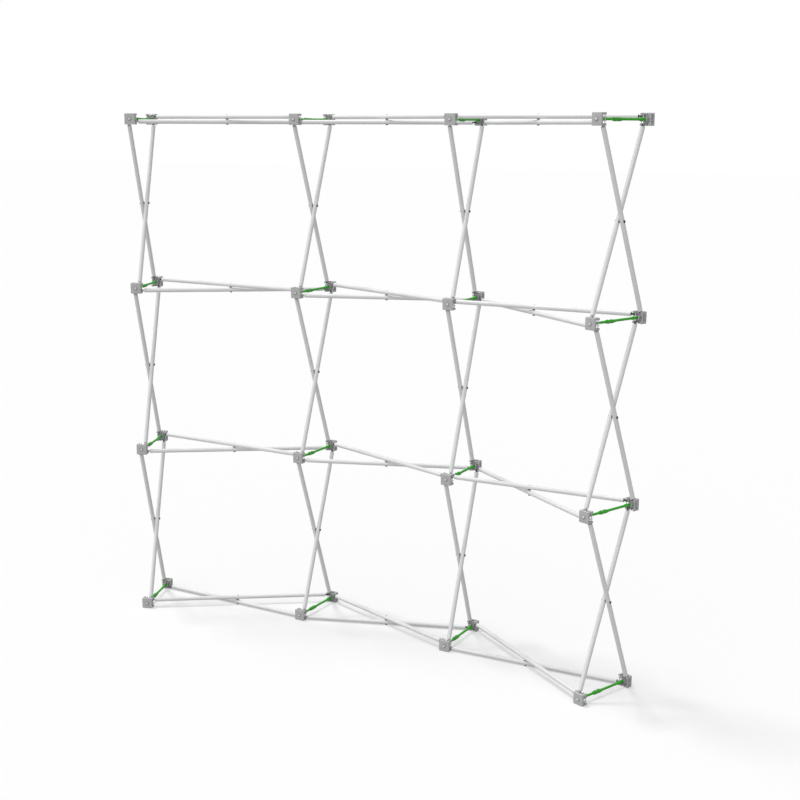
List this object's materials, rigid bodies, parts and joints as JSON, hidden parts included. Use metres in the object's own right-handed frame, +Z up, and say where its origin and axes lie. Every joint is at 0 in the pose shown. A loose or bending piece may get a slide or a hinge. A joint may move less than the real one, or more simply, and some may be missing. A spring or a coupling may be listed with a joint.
{
  "type": "pop-up display backwall frame",
  "caption": "Bare folding frame of a curved pop-up display wall: crossed aluminium tubes between square hubs, held open by hinged green locking arms.",
  "frame": {"origin": "on the floor, under the middle of the frame's bounding box", "axes": "+X along the wall to the viewer's right, +Y to the rear, +Z up"},
  "size_m": [2.3716, 0.526, 2.237],
  "materials": {
    "hub_grey": "moulded mid-grey plastic, satin, with a fine grain",
    "tube_aluminium": "drawn and anodised, satin",
    "plug_black": "moulded black plastic",
    "pin_steel": "cut steel wire",
    "rivet_silver": "pressed and plated",
    "washer_black": "moulded black plastic",
    "arm_green": "moulded green plastic, slightly glossy"
  },
  "bodies": {
    "lattice": {"front_hubs_column_1": "hub_grey", "front_hubs_column_2": "hub_grey", "front_hubs_column_3": "hub_grey", "front_hubs_column_4": "hub_grey", "rear_hubs_column_1": "hub_grey", "rear_hubs_column_2": "hub_grey", "rear_hubs_column_3": "hub_grey", "rear_hubs_column_4": "hub_grey", "row_1_tubes_from_front_left": "tube_aluminium", "row_2_tubes_from_front_left": "tube_aluminium", "row_3_tubes_from_front_left": "tube_aluminium", "row_4_tubes_from_front_left": "tube_aluminium", "row_1_tubes_from_front_right": "tube_aluminium", "row_2_tubes_from_front_right": "tube_aluminium", "row_3_tubes_from_front_right": "tube_aluminium", "row_4_tubes_from_front_right": "tube_aluminium", "column_1_tubes_from_front_top": "tube_aluminium", "column_2_tubes_from_front_top": "tube_aluminium", "column_3_tubes_from_front_top": "tube_aluminium", "column_4_tubes_from_front_top": "tube_aluminium", "column_1_tubes_from_rear_top": "tube_aluminium", "column_2_tubes_from_rear_top": "tube_aluminium", "column_3_tubes_from_rear_top": "tube_aluminium", "column_4_tubes_from_rear_top": "tube_aluminium", "tube_end_plugs": "plug_black", "hub_pins": "pin_steel", "pivot_rivets": "rivet_silver", "pivot_washers": "washer_black"},
    "clip_arm_row_1_column_1": {"clip_arm_row_1_column_1": "arm_green"},
    "clip_arm_row_1_column_2": {"clip_arm_row_1_column_2": "arm_green"},
    "clip_arm_row_1_column_3": {"clip_arm_row_1_column_3": "arm_green"},
    "clip_arm_row_1_column_4": {"clip_arm_row_1_column_4": "arm_green"},
    "clip_arm_row_2_column_1": {"clip_arm_row_2_column_1": "arm_green"},
    "clip_arm_row_2_column_2": {"clip_arm_row_2_column_2": "arm_green"},
    "clip_arm_row_2_column_3": {"clip_arm_row_2_column_3": "arm_green"},
    "clip_arm_row_2_column_4": {"clip_arm_row_2_column_4": "arm_green"},
    "clip_arm_row_3_column_1": {"clip_arm_row_3_column_1": "arm_green"},
    "clip_arm_row_3_column_2": {"clip_arm_row_3_column_2": "arm_green"},
    "clip_arm_row_3_column_3": {"clip_arm_row_3_column_3": "arm_green"},
    "clip_arm_row_3_column_4": {"clip_arm_row_3_column_4": "arm_green"},
    "clip_arm_row_4_column_1": {"clip_arm_row_4_column_1": "arm_green"},
    "clip_arm_row_4_column_2": {"clip_arm_row_4_column_2": "arm_green"},
    "clip_arm_row_4_column_3": {"clip_arm_row_4_column_3": "arm_green"},
    "clip_arm_row_4_column_4": {"clip_arm_row_4_column_4": "arm_green"},
    "rod_arm_row_1_column_1": {"rod_arm_row_1_column_1": "arm_green"},
    "rod_arm_row_1_column_2": {"rod_arm_row_1_column_2": "arm_green"},
    "rod_arm_row_1_column_3": {"rod_arm_row_1_column_3": "arm_green"},
    "rod_arm_row_1_column_4": {"rod_arm_row_1_column_4": "arm_green"},
    "rod_arm_row_2_column_1": {"rod_arm_row_2_column_1": "arm_green"},
    "rod_arm_row_2_column_2": {"rod_arm_row_2_column_2": "arm_green"},
    "rod_arm_row_2_column_3": {"rod_arm_row_2_column_3": "arm_green"},
    "rod_arm_row_2_column_4": {"rod_arm_row_2_column_4": "arm_green"},
    "rod_arm_row_3_column_1": {"rod_arm_row_3_column_1": "arm_green"},
    "rod_arm_row_3_column_2": {"rod_arm_row_3_column_2": "arm_green"},
    "rod_arm_row_3_column_3": {"rod_arm_row_3_column_3": "arm_green"},
    "rod_arm_row_3_column_4": {"rod_arm_row_3_column_4": "arm_green"},
    "rod_arm_row_4_column_1": {"rod_arm_row_4_column_1": "arm_green"},
    "rod_arm_row_4_column_2": {"rod_arm_row_4_column_2": "arm_green"},
    "rod_arm_row_4_column_3": {"rod_arm_row_4_column_3": "arm_green"},
    "rod_arm_row_4_column_4": {"rod_arm_row_4_column_4": "arm_green"}
  },
  "joints": [
    {"name": "clip_arm_row_1_column_1_swing", "type": "hinge", "parent": "lattice", "child": "clip_arm_row_1_column_1", "pos_m": [-1.07135, -0.23246, 2.2135], "axis": [-0.9397, -0.342, 0], "range_deg": [0, 60]},
    {"name": "rod_arm_row_1_column_1_swing", "type": "hinge", "parent": "lattice", "child": "rod_arm_row_1_column_1", "pos_m": [-1.15548, -0.00129, 2.2135], "axis": [-0.9397, -0.342, 0], "range_deg": [0, 60]},
    {"name": "clip_arm_row_1_column_2_swing", "type": "hinge", "parent": "lattice", "child": "clip_arm_row_1_column_2", "pos_m": [-0.36725, -0.01095, 2.2135], "axis": [-1, 0, 0], "range_deg": [0, 60]},
    {"name": "rod_arm_row_1_column_2_swing", "type": "hinge", "parent": "lattice", "child": "rod_arm_row_1_column_2", "pos_m": [-0.36725, 0.23505, 2.2135], "axis": [-1, 0, 0], "range_deg": [0, 60]},
    {"name": "clip_arm_row_1_column_3_swing", "type": "hinge", "parent": "lattice", "child": "clip_arm_row_1_column_3", "pos_m": [0.36725, -0.01095, 2.2135], "axis": [-1, 0, 0], "range_deg": [0, 60]},
    {"name": "rod_arm_row_1_column_3_swing", "type": "hinge", "parent": "lattice", "child": "rod_arm_row_1_column_3", "pos_m": [0.36725, 0.23505, 2.2135], "axis": [-1, 0, 0], "range_deg": [0, 60]},
    {"name": "clip_arm_row_1_column_4_swing", "type": "hinge", "parent": "lattice", "child": "clip_arm_row_1_column_4", "pos_m": [1.07135, -0.23246, 2.2135], "axis": [-0.9397, 0.342, 0], "range_deg": [0, 60]},
    {"name": "rod_arm_row_1_column_4_swing", "type": "hinge", "parent": "lattice", "child": "rod_arm_row_1_column_4", "pos_m": [1.15548, -0.00129, 2.2135], "axis": [-0.9397, 0.342, 0], "range_deg": [0, 60]},
    {"name": "clip_arm_row_2_column_1_swing", "type": "hinge", "parent": "lattice", "child": "clip_arm_row_2_column_1", "pos_m": [-1.07135, -0.23246, 1.4835], "axis": [-0.9397, -0.342, 0], "range_deg": [0, 60]},
    {"name": "rod_arm_row_2_column_1_swing", "type": "hinge", "parent": "lattice", "child": "rod_arm_row_2_column_1", "pos_m": [-1.15548, -0.00129, 1.4835], "axis": [-0.9397, -0.342, 0], "range_deg": [0, 60]},
    {"name": "clip_arm_row_2_column_2_swing", "type": "hinge", "parent": "lattice", "child": "clip_arm_row_2_column_2", "pos_m": [-0.36725, -0.01095, 1.4835], "axis": [-1, 0, 0], "range_deg": [0, 60]},
    {"name": "rod_arm_row_2_column_2_swing", "type": "hinge", "parent": "lattice", "child": "rod_arm_row_2_column_2", "pos_m": [-0.36725, 0.23505, 1.4835], "axis": [-1, 0, 0], "range_deg": [0, 60]},
    {"name": "clip_arm_row_2_column_3_swing", "type": "hinge", "parent": "lattice", "child": "clip_arm_row_2_column_3", "pos_m": [0.36725, -0.01095, 1.4835], "axis": [-1, 0, 0], "range_deg": [0, 60]},
    {"name": "rod_arm_row_2_column_3_swing", "type": "hinge", "parent": "lattice", "child": "rod_arm_row_2_column_3", "pos_m": [0.36725, 0.23505, 1.4835], "axis": [-1, 0, 0], "range_deg": [0, 60]},
    {"name": "clip_arm_row_2_column_4_swing", "type": "hinge", "parent": "lattice", "child": "clip_arm_row_2_column_4", "pos_m": [1.07135, -0.23246, 1.4835], "axis": [-0.9397, 0.342, 0], "range_deg": [0, 60]},
    {"name": "rod_arm_row_2_column_4_swing", "type": "hinge", "parent": "lattice", "child": "rod_arm_row_2_column_4", "pos_m": [1.15548, -0.00129, 1.4835], "axis": [-0.9397, 0.342, 0], "range_deg": [0, 60]},
    {"name": "clip_arm_row_3_column_1_swing", "type": "hinge", "parent": "lattice", "child": "clip_arm_row_3_column_1", "pos_m": [-1.07135, -0.23246, 0.7535], "axis": [-0.9397, -0.342, 0], "range_deg": [0, 60]},
    {"name": "rod_arm_row_3_column_1_swing", "type": "hinge", "parent": "lattice", "child": "rod_arm_row_3_column_1", "pos_m": [-1.15548, -0.00129, 0.7535], "axis": [-0.9397, -0.342, 0], "range_deg": [0, 60]},
    {"name": "clip_arm_row_3_column_2_swing", "type": "hinge", "parent": "lattice", "child": "clip_arm_row_3_column_2", "pos_m": [-0.36725, -0.01095, 0.7535], "axis": [-1, 0, 0], "range_deg": [0, 60]},
    {"name": "rod_arm_row_3_column_2_swing", "type": "hinge", "parent": "lattice", "child": "rod_arm_row_3_column_2", "pos_m": [-0.36725, 0.23505, 0.7535], "axis": [-1, 0, 0], "range_deg": [0, 60]},
    {"name": "clip_arm_row_3_column_3_swing", "type": "hinge", "parent": "lattice", "child": "clip_arm_row_3_column_3", "pos_m": [0.36725, -0.01095, 0.7535], "axis": [-1, 0, 0], "range_deg": [0, 60]},
    {"name": "rod_arm_row_3_column_3_swing", "type": "hinge", "parent": "lattice", "child": "rod_arm_row_3_column_3", "pos_m": [0.36725, 0.23505, 0.7535], "axis": [-1, 0, 0], "range_deg": [0, 60]},
    {"name": "clip_arm_row_3_column_4_swing", "type": "hinge", "parent": "lattice", "child": "clip_arm_row_3_column_4", "pos_m": [1.07135, -0.23246, 0.7535], "axis": [-0.9397, 0.342, 0], "range_deg": [0, 60]},
    {"name": "rod_arm_row_3_column_4_swing", "type": "hinge", "parent": "lattice", "child": "rod_arm_row_3_column_4", "pos_m": [1.15548, -0.00129, 0.7535], "axis": [-0.9397, 0.342, 0], "range_deg": [0, 60]},
    {"name": "clip_arm_row_4_column_1_swing", "type": "hinge", "parent": "lattice", "child": "clip_arm_row_4_column_1", "pos_m": [-1.07135, -0.23246, 0.0235], "axis": [-0.9397, -0.342, 0], "range_deg": [0, 7]},
    {"name": "rod_arm_row_4_column_1_swing", "type": "hinge", "parent": "lattice", "child": "rod_arm_row_4_column_1", "pos_m": [-1.15548, -0.00129, 0.0235], "axis": [-0.9397, -0.342, 0], "range_deg": [0, 60]},
    {"name": "clip_arm_row_4_column_2_swing", "type": "hinge", "parent": "lattice", "child": "clip_arm_row_4_column_2", "pos_m": [-0.36725, -0.01095, 0.0235], "axis": [-1, 0, 0], "range_deg": [0, 7]},
    {"name": "rod_arm_row_4_column_2_swing", "type": "hinge", "parent": "lattice", "child": "rod_arm_row_4_column_2", "pos_m": [-0.36725, 0.23505, 0.0235], "axis": [-1, 0, 0], "range_deg": [0, 60]},
    {"name": "clip_arm_row_4_column_3_swing", "type": "hinge", "parent": "lattice", "child": "clip_arm_row_4_column_3", "pos_m": [0.36725, -0.01095, 0.0235], "axis": [-1, 0, 0], "range_deg": [0, 7]},
    {"name": "rod_arm_row_4_column_3_swing", "type": "hinge", "parent": "lattice", "child": "rod_arm_row_4_column_3", "pos_m": [0.36725, 0.23505, 0.0235], "axis": [-1, 0, 0], "range_deg": [0, 60]},
    {"name": "clip_arm_row_4_column_4_swing", "type": "hinge", "parent": "lattice", "child": "clip_arm_row_4_column_4", "pos_m": [1.07135, -0.23246, 0.0235], "axis": [-0.9397, 0.342, 0], "range_deg": [0, 7]},
    {"name": "rod_arm_row_4_column_4_swing", "type": "hinge", "parent": "lattice", "child": "rod_arm_row_4_column_4", "pos_m": [1.15548, -0.00129, 0.0235], "axis": [-0.9397, 0.342, 0], "range_deg": [0, 60]}
  ]
}
